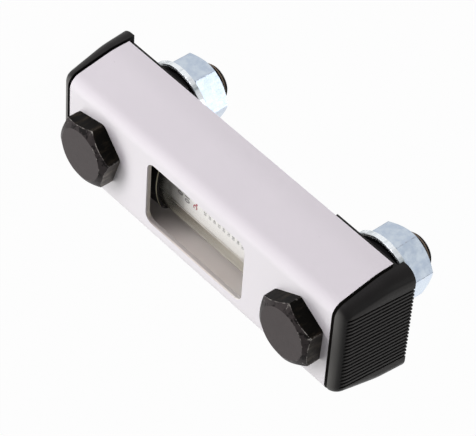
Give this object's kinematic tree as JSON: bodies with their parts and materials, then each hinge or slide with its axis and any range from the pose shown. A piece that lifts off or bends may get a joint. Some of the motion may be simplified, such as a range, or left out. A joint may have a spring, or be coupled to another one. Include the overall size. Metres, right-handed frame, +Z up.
{
  "type": "tank level gauge",
  "caption": "Upright oil level gauge with a windowed sheet cover, clear sight glass, ribbed end pieces and hollow mounting bolts.",
  "frame": {"origin": "midway between the two mounting bolts, in a plane across their free thread ends, 2 mm inside the tips", "axes": "+Z up along the gauge, +Y out of the back along the bolts, away from the window, +X to the right seen from the window side"},
  "size_m": [0.0344, 0.0446, 0.1088],
  "materials": {
    "cover_paint": "semi-gloss white powder coat with a slight lilac tint",
    "clear_tube": "clear moulded plastic",
    "card": "matt ivory, printed",
    "black_moulding": "satin moulded black",
    "seal_rubber": "matt",
    "black_steel": "black oxide, slightly oily, bright at worn edges",
    "zinc_steel": "bright blue zinc plate"
  },
  "bodies": {
    "root": {"cover": "cover_paint", "sight_glass": "clear_tube", "scale_card": "card", "upper_end_piece": "black_moulding", "lower_end_piece": "black_moulding", "upper_glass_seal": "seal_rubber", "lower_glass_seal": "seal_rubber", "upper_bolt": "black_steel", "lower_bolt": "black_steel", "upper_nut": "zinc_steel", "lower_nut": "zinc_steel", "upper_washer": "zinc_steel", "lower_washer": "zinc_steel", "upper_rear_seal": "seal_rubber", "lower_rear_seal": "seal_rubber", "upper_bolt_ring": "seal_rubber", "lower_bolt_ring": "seal_rubber"}
  },
  "joints": []
}
